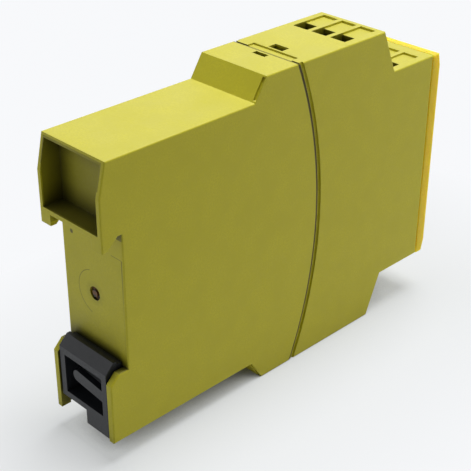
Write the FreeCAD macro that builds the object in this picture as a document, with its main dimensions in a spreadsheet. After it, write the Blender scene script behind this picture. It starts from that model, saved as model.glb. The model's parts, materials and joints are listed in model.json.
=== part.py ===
import FreeCAD, Part
import os
from types import SimpleNamespace
import Sketcher

# Safety relay module for a 35 mm mounting rail, in millimetres.
# Frame: +X across the width, +Y towards the rail, +Z up, origin at the centre of the underside.
# Depths in the sheet are measured forwards from the rear face, so y = total_depth / 2 - depth.

SIZES = {
    # Overall size and shell
    "total_width": (22.5, "width of the module along the rail"),
    "total_height": (87.0, "height of the tall middle part"),
    "total_depth": (121.0, "rear face to front of the cover"),
    "wall": (1.8, "wall of both housings"),
    "edge_round": (0.4, "rounding of the long moulded edges"),
    "fit": (0.1, "clearance between pieces that slide together at assembly"),
    # Side profile
    "rear_drop": (5.93, "top of the rear part below the top of the tall part"),
    "step_start": (73.7, "where the sloped step begins, behind the front face"),
    "step_end": (69.9, "where the sloped step ends, behind the front face"),
    "step_inset": (1.0, "how far the inside of the step lies in front of its outside"),
    "strip_inset": (0.12, "groove on the left of the step, in from the side face"),
    "strip_width": (0.9, "width of that groove"),
    "strip_depth": (0.55, "depth of that groove, along the depth"),
    "strip_end": (0.4, "height left plain at the ends of that groove"),
    "upper_tier_end": (25.7, "front edge of the upper terminal tier, behind the front face"),
    "lower_tier_start": (20.6, "foot of the slope between the tiers, behind the front face"),
    "tier_drop": (12.15, "lower terminal tier below the upper one"),
    "cover_thickness": (3.8, "thickness of the yellow front cover"),
    "rear_lean": (2.0, "how far the top of the rear face leans forwards"),
    "lean_height": (8.8, "height over which the rear face leans"),
    # Rail seat
    "seat_top": (18.4, "rail's upper edge above mid height"),
    "seat_depth": (5.7, "depth of the rail seat"),
    "hook_drop": (2.94, "how far the fixed hooks reach down behind the rail"),
    "hook_tip": (1.6, "flat end of a fixed hook"),
    "hook_root": (4.6, "thickness of a fixed hook at its root"),
    "hook_width": (3.8, "width of a fixed hook"),
    "ear_depth": (0.2, "depth of the rear edge of the ears beside the clip"),
    "ear_top": (36.5, "top of the ears, below the rail's upper edge"),
    "ear_chamfer": (2.6, "slanted corner of an ear"),
    "clip_pocket": (6.8, "depth of the pocket that the clip slides in"),
    "gate_height": (20.3, "the moulding gate on the rail seat, below the rail's upper edge"),
    "gate_radius": (1.8, "radius of the moulding gate's dish"),
    "gate_stub": (0.9, "radius of the sprue stub in the dish"),
    "gate_dish": (0.6, "depth of the moulding gate's dish"),
    # Hollow box above the rail seat
    "box_wall": (1.3, "side wall of the hollow box"),
    "box_floor": (1.2, "floor of the hollow box"),
    "box_depth": (5.8, "depth of the hollow box"),
    "box_ceiling": (1.1, "top wall of the hollow box"),
    # Seam between the two housings
    "seam_middle": (50.0, "the curved seam at mid height, behind the front face"),
    "seam_rise": (8.8, "how much further back the curved seam lies at top and bottom"),
    "seam_gap": (0.5, "open gap of the seam"),
    "lip_width": (1.05, "set-back band in front of the seam"),
    "lip_drop": (0.45, "how far the band is set back"),
    "tongue_reach": (3.0, "how far the rear housing reaches into the front one"),
    "tongue_thickness": (0.8, "thickness of that tongue"),
    "lip_groove": (0.5, "groove along the front edge of that band"),
    "lip_groove_depth": (0.6, "depth of that groove below the side face"),
    "band_left": (8.4, "deeper band on top and underneath, left of the middle"),
    "band_right": (6.8, "deeper band, right of the middle"),
    "band_drop": (0.45, "depth of that band"),
    "band_gap": (0.5, "how much wider the seam is along that band"),
    "band_gap_depth": (1.2, "depth of that wider seam"),
    "band_end": (2.9, "front edge of the deeper band, in front of the seam's top end"),
    # Latches between the two housings
    "rear_slot_end": (0.9, "front edge of the small slot, behind the seam's top end"),
    "rear_slot_length": (1.6, "length of that slot"),
    "rear_slot_width": (4.3, "width of that slot"),
    "front_slot_start": (3.5, "rear edge of the latch window, in front of the seam's top end"),
    "front_slot_length": (2.7, "length of the latch window"),
    "front_slot_width": (4.7, "width of the latch window"),
    "latch_thickness": (1.2, "thickness of the latch arm"),
    "latch_nib": (1.2, "height of the latch nib"),
    "latch_side_gap": (0.35, "clearance beside the latch nib"),
    # Terminal cells
    "cell_pitch": (6.4, "spacing of the terminals across the width"),
    "cell_width": (5.0, "width of a wire hole and of its shallow field"),
    "cell_start": (39.2, "rear edge of an upper wire hole, behind the front face"),
    "wire_hole": (5.1, "length of a wire hole"),
    "cell_length": (12.2, "wire hole and shallow field together"),
    "field_drop": (0.6, "depth of the shallow field"),
    "tier_pitch": (19.5, "lower terminals in front of the upper ones"),
    "screw_drop": (8.0, "screw axis below the top of its tier"),
    "well_radius": (2.4, "radius of a screw well"),
    "block_wall": (1.1, "wall behind the terminal cells"),
    # Clamps
    "cage_width": (5.0, "outside width of a clamp cage"),
    "cage_side": (0.7, "side wall of a clamp cage"),
    "cage_height": (6.0, "height of a clamp cage"),
    "cage_back": (0.8, "rear wall of a clamp cage"),
    "cage_front": (1.5, "threaded front wall of a clamp cage"),
    "clamp_opening": (4.0, "space for the wire behind the contact bar"),
    "clamp_slack": (1.7, "space between contact bar and threaded wall"),
    "clamp_travel": (3.6, "stroke of a clamp cage"),
    "cage_gap": (0.2, "clearance round a clamp cage in its pocket"),
    "bar_width": (2.8, "width of a contact bar"),
    "bar_thickness": (1.0, "thickness of a contact bar"),
    "bar_gap": (0.1, "contact bar in front of its wire hole"),
    "pin_length": (0.8, "how far a bar's pin stands out of its board"),
    "screw_radius": (1.46, "radius of a clamp screw"),
    "thread_gap": (0.04, "running clearance of a clamp screw in its cage"),
    "tip_gap": (0.05, "clearance of a clamp screw's tip from the bar"),
    "head_radius": (2.2, "radius of a clamp screw's head"),
    "head_length": (2.0, "length of a clamp screw's head"),
    "head_gap": (0.3, "head in front of the closed cage"),
    "cross_length": (3.2, "length of the cross recess"),
    "cross_width": (0.7, "width of the cross recess"),
    "cross_depth": (1.1, "depth of the cross recess"),
    # Front cover
    "cover_lean": (0.8, "how far the cover's ends slope back"),
    "cover_lean_height": (3.5, "height over which the cover's ends slope"),
    "cover_round": (0.5, "rounding of the cover's front edges"),
    "cover_gap": (0.3, "shadow gap between housing and cover"),
    "cover_inset": (0.5, "how far the cover is set in behind that gap"),
    "driver_radius": (2.05, "radius of the cover's screwdriver holes"),
    "hook_offset": (3.75, "middle of a cover hook below the cells' underside"),
    "snap_width": (5.0, "width of a cover hook"),
    "snap_thickness": (1.2, "thickness of a cover hook"),
    "snap_length": (4.0, "length of a cover hook"),
    "snap_nib": (0.6, "height of a cover hook's nib"),
    "snap_nib_length": (1.6, "length of a cover hook's nib"),
    # Status lamps and their light guide
    "lamp_x": (1.5, "lamps' axis from the main board"),
    "lamp_pitch": (6.0, "spacing of the lamps"),
    "guide_radius": (1.2, "radius of a light rod"),
    "guide_gap": (0.2, "lamp behind its light rod"),
    "guide_start": (9.6, "rear end of the light rods, behind the front face"),
    "guide_bar_width": (3.2, "width of the strip that joins the light rods"),
    "guide_bar_thickness": (1.0, "thickness of that strip"),
    "lamp_size": (2.4, "width of a lamp body"),
    "lamp_length": (3.2, "length of a lamp"),
    "lamp_dome": (0.8, "height of a lamp's dome"),
    # Rail clip
    "clip_rear": (0.5, "depth of the clip's rear face"),
    "clip_side_gap": (0.5, "clearance of the clip beside the ears"),
    "clip_low": (51.6, "underside of the clip's frame, below the rail's upper edge"),
    "clip_high": (37.0, "top of the clip's rear face, below the rail's upper edge"),
    "nose_height": (34.5, "top of the clip's nose behind the rail, below the rail's upper edge"),
    "nose_start": (3.0, "depth where the clip's ramp ends"),
    "nose_end": (4.0, "depth of the nose's face behind the rail"),
    "clip_seat": (35.3, "the clip's seat under the rail, below the rail's upper edge"),
    "clip_gap": (0.25, "clearance of the clip in its pocket"),
    "window_low": (49.9, "lower edge of the clip's window, below the rail's upper edge"),
    "window_high": (38.9, "upper edge of the clip's window, below the rail's upper edge"),
    "clip_stile": (1.85, "side stile of the clip's frame"),
    "clip_web": (1.0, "web at the back of the clip's window"),
    "spring_low": (45.9, "lower edge of the spring arm at its root, below the rail's upper edge"),
    "spring_height": (3.2, "height of the spring arm"),
    "spring_end": (4.2, "free end of the spring arm, from the middle"),
    "spring_rise": (1.2, "how much the spring arm climbs towards its free end"),
    "spring_thickness": (1.6, "thickness of the spring arm"),
    "spring_inset": (0.2, "spring arm behind the rear face"),
    "tab_low": (55.7, "lower end of the release tab, below the rail's upper edge"),
    "tab_inner": (0.4, "inner edge of the release tab, from the middle"),
    "tab_thickness": (2.8, "thickness of the release tab"),
    "rib_low": (50.9, "lower end of the guide ribs, below the rail's upper edge"),
    "rib_high": (39.9, "upper end of the guide ribs, below the rail's upper edge"),
    "rib_start": (3.2, "depth of the rear side of the guide ribs"),
    "rib_width": (1.6, "width of the guide ribs"),
    "groove_depth": (0.7, "depth of the guide grooves in the ears"),
    # Boards
    "board_thickness": (1.6, "thickness of the circuit boards"),
    "board_x": (0.65, "main board from the housing's inner side"),
    "board_rear": (11.0, "depth of the main board's rear edge"),
    "board_shoulder": (41.0, "where the main board narrows, behind the front face"),
    "board_front": (9.0, "the boards' front edge, behind the front face"),
    "board_edge_gap": (0.3, "main board's edge from the housing"),
    "terminal_board_rear": (37.0, "the terminal boards' rear edge, behind the front face"),
    "terminal_board_height": (3.75, "underside of a terminal board below the cells' underside"),
    "terminal_board_gap": (0.25, "terminal boards from the housing's inner sides"),
    "rib_thickness": (0.8, "thickness of the board's guide ribs"),
    "rib_height": (1.6, "height of the board's guide ribs"),
    "guide_rib_start": (13.0, "depth where the board's guide ribs begin"),
    "guide_rib_end": (4.3, "front end of the board's guide ribs behind the step's inside"),
    # Parts on the main board
    "part_round": (0.5, "rounding of a relay's upright edges"),
    "relay_start": (67.0, "the relays' rear end, behind the front face"),
    "relay_length": (28.0, "length of a relay"),
    "relay_width": (12.7, "width of a relay"),
    "relay_height": (12.2, "height of a relay above the board"),
    "relay_spacing": (15.0, "distance between the relays' centres"),
    "core_start": (13.5, "depth of the transformer's rear end"),
    "core_length": (19.0, "length of the transformer core"),
    "core_low": (4.0, "underside of the transformer core below mid height"),
    "core_height": (26.0, "height of the transformer core"),
    "core_stack": (8.0, "thickness of the transformer core"),
    "core_yoke": (3.5, "width of the core's outer legs and yokes"),
    "core_leg": (5.0, "width of the core's middle leg"),
    "coil_gap": (0.2, "clearance between coil and core"),
    "coil_wall": (2.0, "winding outside the core's stack"),
    "capacitor_radius": (4.0, "radius of a capacitor"),
    "capacitor_length": (11.0, "length of a capacitor"),
    "capacitor_start": (17.5, "depth of the first capacitor"),
    "capacitor_pitch": (9.5, "distance between the capacitors"),
    "capacitor_height": (7.0, "capacitors' axis above the rear floor"),
    "varistor_radius": (5.5, "radius of the varistor disc"),
    "varistor_thickness": (4.0, "thickness of the varistor disc"),
    "varistor_depth": (49.0, "the varistor, behind the front face"),
    "varistor_low": (15.5, "underside of the varistor disc above mid height"),
    "fuse_radius": (2.6, "radius of the fuse's caps"),
    "fuse_length": (20.0, "length of the fuse"),
    "fuse_cap": (4.0, "length of a fuse cap"),
    "fuse_neck": (0.2, "step from cap to tube"),
    "fuse_start": (65.0, "the fuse's rear end, behind the front face"),
    "fuse_height": (7.0, "fuse's axis above the rear floor"),
    "chip_size": (8.0, "side of a controller chip"),
    "chip_height": (2.5, "height of a controller chip"),
    "chip_pitch": (10.0, "distance between the controller chips"),
    "chip_start": (35.0, "the first controller chip's rear edge, behind the front face"),
}

doc = FreeCAD.newDocument("SafetyRelay")
sheet = doc.addObject("Spreadsheet::Sheet", "Sizes")


class Size:
    """A length that carries the sheet expression it comes from."""

    def __init__(self, value, text):
        self.value = float(value)
        self.text = text

    def __add__(self, other):
        other = as_size(other)
        return Size(self.value + other.value, "(%s + %s)" % (self.text, other.text))

    def __sub__(self, other):
        other = as_size(other)
        return Size(self.value - other.value, "(%s - %s)" % (self.text, other.text))

    def __mul__(self, other):
        other = as_size(other)
        return Size(self.value * other.value, "(%s * %s)" % (self.text, other.text))

    def __truediv__(self, other):
        other = as_size(other)
        return Size(self.value / other.value, "(%s / %s)" % (self.text, other.text))

    def __neg__(self):
        return Size(-self.value, "(-1 * %s)" % self.text)

    def __radd__(self, other):
        return as_size(other) + self

    def __rsub__(self, other):
        return as_size(other) - self

    def __rmul__(self, other):
        return as_size(other) * self


def as_size(number):
    """Gives a bare number the same form as a sheet size."""
    if isinstance(number, Size):
        return number
    return Size(number, repr(float(number)))


def fill_sheet():
    """Writes every size to the sheet and returns them by name."""
    named = {}
    for row, (alias, (value, note)) in enumerate(SIZES.items(), start=1):
        sheet.set("A%d" % row, alias)
        sheet.set("B%d" % row, str(value))
        sheet.set("C%d" % row, note)
        sheet.setAlias("B%d" % row, alias)
        named[alias] = Size(value, "Sizes." + alias)
    doc.recompute()
    return SimpleNamespace(**named)


s = fill_sheet()
OVER = 1.0
half_depth = s.total_depth / 2
half_width = s.total_width / 2
middle = s.total_height / 2
inner_width = half_width - s.wall
columns = (-1, 0, 1)

# A view says how a sketch lies: side (depth, z) along x, plan (x, depth) along z, front (x, z) along depth.
PLANES = {"side": "YZ_Plane", "plan": "XY_Plane", "front": "XZ_Plane"}
TURNS = {
    "side": FreeCAD.Rotation(FreeCAD.Vector(0, 1, 0), FreeCAD.Vector(0, 0, 1), FreeCAD.Vector(1, 0, 0)),
    "plan": FreeCAD.Rotation(),
    "front": FreeCAD.Rotation(FreeCAD.Vector(1, 0, 0), FreeCAD.Vector(0, 0, 1), FreeCAD.Vector(0, -1, 0)),
}
OFFSETS = {"side": ("x", 1), "plan": ("z", 1), "front": ("y", -1)}


def bind(item, prop, size):
    """Sets a property from the sheet."""
    item.setExpression(prop, as_size(size).text)


def on_sheet(view, first, second):
    """Turns a point of a view into the sketch's own two coordinates."""
    first, second = as_size(first), as_size(second)
    if view == "side":
        return half_depth - first, second
    if view == "plan":
        return first, half_depth - second
    return first, second


def level(view, value):
    """Turns a view's third coordinate into the distance along the sketch's normal."""
    value = as_size(value)
    return value - half_depth if view == "front" else value


def fix_point(sketch, geometry, vertex, across, up):
    """Holds one sketch point at two sheet distances from the sketch's origin."""
    for kind, size in (("DistanceX", across), ("DistanceY", up)):
        constraint = Sketcher.Constraint(kind, -1, 1, geometry, vertex, size.value)
        index = sketch.addConstraint(constraint)
        bind(sketch, "Constraints[%d]" % index, size)


def draw(sketch, view, loops):
    """Draws closed outlines: a list of corners, or a circle as (first, second, radius)."""
    for loop in loops:
        if isinstance(loop, tuple):
            across, up = on_sheet(view, loop[0], loop[1])
            radius = as_size(loop[2])
            centre = FreeCAD.Vector(across.value, up.value, 0)
            circle = sketch.addGeometry(Part.Circle(centre, FreeCAD.Vector(0, 0, 1), radius.value))
            fix_point(sketch, circle, 3, across, up)
            index = sketch.addConstraint(Sketcher.Constraint("Radius", circle, radius.value))
            bind(sketch, "Constraints[%d]" % index, radius)
            continue
        corners = [on_sheet(view, first, second) for first, second in loop]
        places = [FreeCAD.Vector(across.value, up.value, 0) for across, up in corners]
        start = sketch.GeometryCount
        for index, place in enumerate(places):
            sketch.addGeometry(Part.LineSegment(place, places[(index + 1) % len(places)]))
        for index in range(len(places)):
            following = start + (index + 1) % len(places)
            sketch.addConstraint(Sketcher.Constraint("Coincident", start + index, 2, following, 1))
        for index, (across, up) in enumerate(corners):
            fix_point(sketch, start + index, 1, across, up)


def prism(name, view, loops, start, end):
    """Extrudes outlines of a view between two values of its third coordinate."""
    sketch = doc.addObject("Sketcher::SketchObject", name + "_sketch")
    sketch.Placement = FreeCAD.Placement(FreeCAD.Vector(), TURNS[view])
    axis, sign = OFFSETS[view]
    bind(sketch, "Placement.Base." + axis, level(view, start) * sign)
    draw(sketch, view, loops)
    solid = doc.addObject("Part::Extrusion", name)
    solid.Base = sketch
    solid.DirMode = "Normal"
    solid.Solid = True
    bind(solid, "LengthFwd", as_size(end) - start)
    return solid


def fuse(name, items):
    """Joins several solids."""
    if len(items) == 1:
        return items[0]
    joined = doc.addObject("Part::MultiFuse", name)
    joined.Shapes = items
    return joined


def common(name, first, second):
    """Keeps what two solids share."""
    shared = doc.addObject("Part::Common", name)
    shared.Base = first
    shared.Tool = second
    return shared


def cut(name, base, tools):
    """Takes several solids away from one."""
    result = doc.addObject("Part::Cut", name)
    result.Base = base
    result.Tool = fuse(name + "_tools", tools)
    return result


class Piece:
    """A body built from sketches on its own origin planes."""

    def __init__(self, name):
        self.body = doc.addObject("PartDesign::Body", name)
        self.body.Label = name
        self.name = name
        self.steps = 0

    def feature(self, kind, word):
        self.steps += 1
        return self.body.newObject(kind, "%s_%s_%d" % (self.name, word, self.steps))

    def sketch(self, view, loops, start):
        plane = [item for item in self.body.Origin.OriginFeatures if item.Role == PLANES[view]][0]
        sketch = self.feature("Sketcher::SketchObject", "sketch")
        sketch.AttachmentSupport = [(plane, "")]
        sketch.MapMode = "FlatFace"
        bind(sketch, "AttachmentOffset.Base.z", level(view, start))
        draw(sketch, view, loops)
        return sketch

    def add(self, view, loops, start, end):
        sketch = self.sketch(view, loops, start)
        pad = self.feature("PartDesign::Pad", "pad")
        pad.Profile = sketch
        bind(pad, "Length", as_size(end) - start)
        return pad

    def take(self, view, loops, start, end):
        sketch = self.sketch(view, loops, start)
        pocket = self.feature("PartDesign::Pocket", "pocket")
        pocket.Profile = sketch
        pocket.Reversed = True
        bind(pocket, "Length", as_size(end) - start)
        return pocket

    def turn(self, across, height, outline):
        """Revolves (depth, radius) corners about an axis along the depth."""
        plane = [item for item in self.body.Origin.OriginFeatures if item.Role == PLANES["side"]][0]
        sketch = self.feature("Sketcher::SketchObject", "sketch")
        sketch.AttachmentSupport = [(plane, "")]
        sketch.MapMode = "FlatFace"
        bind(sketch, "AttachmentOffset.Base.y", height)
        bind(sketch, "AttachmentOffset.Base.z", across)
        draw(sketch, "side", [outline])
        spin = self.feature("PartDesign::Revolution", "turn")
        spin.Profile = sketch
        spin.ReferenceAxis = (sketch, ["H_Axis"])
        spin.Angle = 360
        return spin

    def soften(self, radius, chosen):
        """Rounds the chosen edges of what has been built so far."""
        doc.recompute()
        base = self.body.Tip
        names = ["Edge%d" % (i + 1) for i, edge in enumerate(base.Shape.Edges) if chosen(edge)]
        fillet = self.feature("PartDesign::Fillet", "fillet")
        fillet.Base = (base, names)
        bind(fillet, "Radius", radius)
        return fillet


def rectangle(first_low, first_high, second_low, second_high):
    """Four corners of a rectangle in a view."""
    return [(first_low, second_low), (first_high, second_low),
            (first_high, second_high), (first_low, second_high)]


def upside_down(loop):
    """The same outline on the underside: heights are counted down from the top."""
    return [(first, s.total_height - second) for first, second in loop]


def runs_along(edge, axis):
    """True for a straight edge along an axis."""
    if not isinstance(edge.Curve, Part.Line):
        return False
    direction = edge.Curve.Direction
    return abs(abs(getattr(direction, axis)) - 1.0) < 1e-6


def rounded(name, solid):
    """Rounds the edges of a solid's two outer side faces."""
    doc.recompute()
    chosen = []
    for index, edge in enumerate(solid.Shape.Edges, start=1):
        if all(abs(abs(vertex.X) - half_width.value) < 1e-6 for vertex in edge.Vertexes):
            if not runs_along(edge, "x"):
                chosen.append((index, s.edge_round.value, s.edge_round.value))
    fillet = doc.addObject("Part::Fillet", name)
    fillet.Base = solid
    fillet.Edges = chosen
    return fillet


# Depths from the rear face of what is dimensioned from the front face
FROM_FRONT = (
    "step_start", "step_end", "upper_tier_end", "lower_tier_start", "seam_middle", "cell_start",
    "guide_start", "board_shoulder", "board_front", "terminal_board_rear", "relay_start", "varistor_depth",
    "fuse_start", "chip_start",
)
at = SimpleNamespace(**{name: s.total_depth - getattr(s, name) for name in FROM_FRONT})

# Heights above the underside of what is dimensioned from the rail's upper edge
seat_top = middle + s.seat_top
FROM_RAIL = (
    "ear_top", "gate_height", "clip_low", "clip_high", "nose_height", "clip_seat", "window_low",
    "window_high", "spring_low", "tab_low", "rib_low", "rib_high",
)
hung = SimpleNamespace(**{name: seat_top - getattr(s, name) for name in FROM_RAIL})

# Heights and depths that several pieces share
rear_top = s.total_height - s.rear_drop
rear_low = s.rear_drop
body_end = s.total_depth - s.cover_thickness
upper_axis = s.total_height - s.screw_drop
lower_axis = upper_axis - s.tier_drop
bar_start = at.cell_start + s.wire_hole + s.bar_gap
bar_end = bar_start + s.bar_thickness
cage_start = bar_start - s.clamp_opening - s.cage_back
cage_window_end = bar_end + s.clamp_slack
cage_end = cage_window_end + s.cage_front
head_start = cage_end + s.clamp_travel + s.head_gap
head_end = head_start + s.head_length
pocket_start = cage_start - s.cage_gap
pocket_end = cage_end + s.clamp_travel + s.cage_gap
pocket_top = upper_axis + s.cage_height / 2 + s.cage_gap
block_rear = pocket_start - s.block_wall
block_low = upper_axis - s.cage_height / 2 - s.block_wall
seam_edge = at.seam_middle - s.seam_rise
seam_radius = (middle * middle + s.seam_rise * s.seam_rise) / (s.seam_rise * 2)
seam_centre = at.seam_middle - seam_radius
rear_slot_end = seam_edge - s.rear_slot_end
rear_slot_start = rear_slot_end - s.rear_slot_length
front_slot_start = seam_edge + s.front_slot_start
front_slot_end = front_slot_start + s.front_slot_length
lip_radius = seam_radius + s.seam_gap
band_radius = lip_radius + s.lip_width
tongue_radius = seam_radius + s.tongue_reach
tongue_side = inner_width + s.tongue_thickness
latch_top = s.total_height - s.wall - s.fit
front_inner = body_end - s.wall
cells_low = block_low - s.tier_drop
board_back = inner_width - s.board_x
board_face = board_back - s.board_thickness
lamp_axis = board_face - s.lamp_x
terminal_board_low = cells_low - s.terminal_board_height
terminal_board_top = terminal_board_low + s.board_thickness
clip_side = inner_width - s.clip_side_gap


def terminals():
    """Every terminal as (x, height of its screw axis, shift of its tier, 1 on top or -1 underneath)."""
    places = []
    for side in (1, -1):
        for axis, shift in ((upper_axis, as_size(0)), (lower_axis, s.tier_pitch)):
            height = axis if side == 1 else s.total_height - axis
            for column in columns:
                places.append((s.cell_pitch * column, height, shift, side))
    return places


def rear_housing():
    """Rear shell: rail seat with fixed hooks, hollow box, ears for the clip and latch arms."""
    beyond = at.seam_middle + s.wall * 4
    hook_low = seat_top - s.hook_drop
    profile = [
        (s.rear_lean, rear_top), (at.step_start, rear_top), (at.step_end, s.total_height),
        (beyond, s.total_height), (beyond, 0), (at.step_end, 0), (at.step_start, rear_low),
        (s.ear_depth, rear_low), (s.ear_depth, hung.ear_top - s.ear_chamfer),
        (s.ear_depth + s.ear_chamfer, hung.ear_top), (s.seat_depth, hung.ear_top),
        (s.seat_depth, seat_top), (s.hook_root, seat_top), (s.hook_tip, hook_low),
        (0, hook_low), (0, rear_top - s.lean_height),
    ]
    block = rounded("rear_block", prism("rear_profile", "side", [profile], -half_width, half_width))
    seam = prism("rear_seam", "side", [(seam_centre, middle, seam_radius)],
                 -half_width - OVER, half_width + OVER)
    skin = common("rear_skin", block, seam)

    tongue_block = prism("rear_tongue_block", "side",
                         [rectangle(at.step_end + s.wall * 2, beyond, s.wall + s.fit, latch_top)],
                         -tongue_side, tongue_side)
    tongue_seam = prism("rear_tongue_seam", "side", [(seam_centre, middle, tongue_radius)],
                        -half_width, half_width)
    tongue = common("rear_tongue", tongue_block, tongue_seam)

    box_inner = s.box_depth + s.wall
    seat_inner = s.seat_depth + s.wall
    pocket_inner = s.clip_pocket + s.wall
    inner_top = rear_top - s.wall
    step_inner = at.step_start + s.step_inset
    inside = [
        (box_inner, inner_top), (step_inner, inner_top),
        (at.step_end + s.step_inset, s.total_height - s.wall), (beyond + OVER, s.total_height - s.wall),
        (beyond + OVER, s.wall), (at.step_end + s.step_inset, s.wall),
        (step_inner, rear_low + s.wall), (pocket_inner, rear_low + s.wall),
        (pocket_inner, hung.ear_top + s.wall), (seat_inner, hung.ear_top + s.wall),
        (seat_inner, seat_top - s.wall), (box_inner, seat_top - s.wall),
    ]
    strip_high = s.total_height - s.strip_end
    strip_low = rear_top + s.strip_end
    strip_shift = s.strip_end * (at.step_end - at.step_start) / s.rear_drop
    strip_start = at.step_start + strip_shift
    strip_stop = at.step_end - strip_shift
    strip = [(strip_start - OVER, strip_low), (strip_start + s.strip_depth, strip_low),
             (strip_stop + s.strip_depth, strip_high), (strip_stop - OVER, strip_high)]
    strip_far = half_width - s.strip_inset
    strip_near = strip_far - s.strip_width
    groove_low = s.rib_start - s.clip_gap
    groove_high = s.rib_start + s.rib_width + s.clip_gap
    groove_side = inner_width + s.groove_depth
    hollow_side = half_width - s.box_wall
    hook_side = half_width - s.hook_width
    slot_side = s.rear_slot_width / 2
    slot = rectangle(rear_slot_start, rear_slot_end, s.total_height - s.wall - OVER,
                     s.total_height + OVER)
    tools = [
        prism("rear_inside", "side", [inside], -inner_width, inner_width),
        prism("clip_pocket_cut", "side", [rectangle(-OVER, s.clip_pocket, rear_low - OVER, hung.ear_top)],
              -inner_width, inner_width),
        prism("clip_groove_cut", "side",
              [rectangle(groove_low, groove_high, rear_low - OVER, hung.rib_high + s.clip_gap)],
              -groove_side, groove_side),
        prism("hook_gap_cut", "side",
              [rectangle(-OVER, s.seat_depth, hook_low - OVER, seat_top)], -hook_side, hook_side),
        prism("hollow_box_cut", "side",
              [rectangle(-OVER, s.box_depth, seat_top + s.box_floor, rear_top - s.box_ceiling)],
              -hollow_side, hollow_side),
        prism("gate_cut", "front", [(0, hung.gate_height, s.gate_radius), (0, hung.gate_height, s.gate_stub)],
              s.seat_depth - OVER, s.seat_depth + s.gate_dish),
        prism("rear_slot_cut", "side", [slot, upside_down(slot)], -slot_side, slot_side),
        prism("strip_cut", "side", [strip, upside_down(strip)], -strip_far, -strip_near),
    ]
    shell = cut("rear_shell", fuse("rear_solid", [skin, tongue]), tools)

    arm_low = latch_top - s.latch_thickness
    arm_root = rear_slot_start - s.wall * 2
    nib_start = front_slot_start + s.latch_side_gap
    nib_end = front_slot_end - s.latch_side_gap
    arm = [
        (arm_root, latch_top + s.fit * 2), (rear_slot_start - s.fit, latch_top + s.fit * 2),
        (rear_slot_start - s.fit, latch_top), (nib_start, latch_top),
        (nib_start, latch_top + s.latch_nib), ((nib_start + nib_end) / 2, latch_top + s.latch_nib),
        (nib_end, latch_top), (nib_end + s.wall / 2, latch_top), (nib_end + s.wall / 2, arm_low),
        (arm_root, arm_low),
    ]
    arm_side = s.front_slot_width / 2 - s.latch_side_gap
    rail_low = inner_top - s.rib_height
    rib = rectangle(s.guide_rib_start, step_inner - s.guide_rib_end, rail_low, inner_top + s.fit)
    near_rib = board_face - s.fit
    far_rib = board_back + s.fit
    whole = fuse("rear_housing", [
        shell,
        prism("latch_arms", "side", [arm, upside_down(arm)], -arm_side, arm_side),
        prism("near_ribs", "side", [rib, upside_down(rib)], near_rib - s.rib_thickness, near_rib),
        prism("far_ribs", "side", [rib, upside_down(rib)], far_rib, inner_width + s.fit),
    ])
    return whole


def front_housing():
    """Front shell: two terminal tiers on top and underneath, with cells, wells and latch windows."""
    behind = at.step_end
    upper = s.total_height
    lower = s.total_height - s.tier_drop
    profile = [
        (behind, upper), (at.upper_tier_end, upper), (at.lower_tier_start, lower), (body_end, lower),
        (body_end, s.tier_drop), (at.lower_tier_start, s.tier_drop), (at.upper_tier_end, 0), (behind, 0),
    ]
    block = rounded("front_block", prism("front_profile", "side", [profile], -half_width, half_width))

    lower_rear = block_rear + s.tier_pitch
    corner = s.wall * 1.5
    half_inside = [
        (behind - OVER, upper - s.wall), (block_rear, upper - s.wall), (block_rear, block_low),
        (lower_rear - corner, block_low), (lower_rear, block_low - corner), (lower_rear, cells_low),
        (front_inner, cells_low),
    ]
    inside = half_inside + upside_down(half_inside)[::-1]

    rebate_ring = prism("rebate_ring", "side",
                        [(seam_centre, middle, tongue_radius + s.seam_gap),
                         (seam_centre, middle, seam_radius)],
                        -(tongue_side + s.fit), tongue_side + s.fit)
    rebate_reach = prism("rebate_reach", "side",
                         [rectangle(behind, at.seam_middle + s.wall * 4, s.wall, upper - s.wall)],
                         -half_width, half_width)

    pocket = rectangle(pocket_start, pocket_end, block_low - OVER, pocket_top)
    low_pocket = [(depth + s.tier_pitch, height - s.tier_drop) for depth, height in pocket]
    pocket_loops = [pocket, low_pocket, upside_down(pocket), upside_down(low_pocket)]
    pocket_side = s.cage_width / 2 + s.cage_gap

    band = rectangle(behind, seam_edge + s.band_end, upper - s.band_drop, upper + OVER)
    wide_seam = rectangle(behind, seam_edge + s.seam_gap + s.band_gap, upper - s.band_gap_depth, upper + OVER)
    window = rectangle(front_slot_start, front_slot_end, upper - s.wall - OVER, upper + OVER)
    window_side = s.front_slot_width / 2
    ring = [(seam_centre, middle, band_radius), (seam_centre, middle, seam_radius)]
    edge_ring = [(seam_centre, middle, band_radius), (seam_centre, middle, band_radius - s.lip_groove)]
    edge_side = half_width - s.lip_groove_depth
    tools = [
        prism("front_seam", "side", [(seam_centre, middle, lip_radius)],
              -half_width - OVER, half_width + OVER),
        prism("lip_cut_left", "side", ring, -half_width - OVER, -half_width + s.lip_drop),
        prism("lip_cut_right", "side", ring, half_width - s.lip_drop, half_width + OVER),
        prism("edge_cut_left", "side", edge_ring, -half_width - OVER, -edge_side),
        prism("edge_cut_right", "side", edge_ring, edge_side, half_width + OVER),
        prism("band_cut", "side", [band, upside_down(band)], -s.band_left, s.band_right),
        prism("wide_seam_cut", "side", [wide_seam, upside_down(wide_seam)], -s.band_left, s.band_right),
        prism("window_cut", "side", [window, upside_down(window)], -window_side, window_side),
        common("rebate_cut", rebate_ring, rebate_reach),
        prism("front_inside", "side", [inside], -inner_width, inner_width),
    ]
    for number, column in enumerate(columns, start=1):
        across = s.cell_pitch * column
        tools.append(prism("cell_pocket_%d" % number, "side", pocket_loops,
                           across - pocket_side, across + pocket_side))
    tools += cell_mouths()
    tools += front_openings()
    return cut("front_housing", block, tools)


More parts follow.
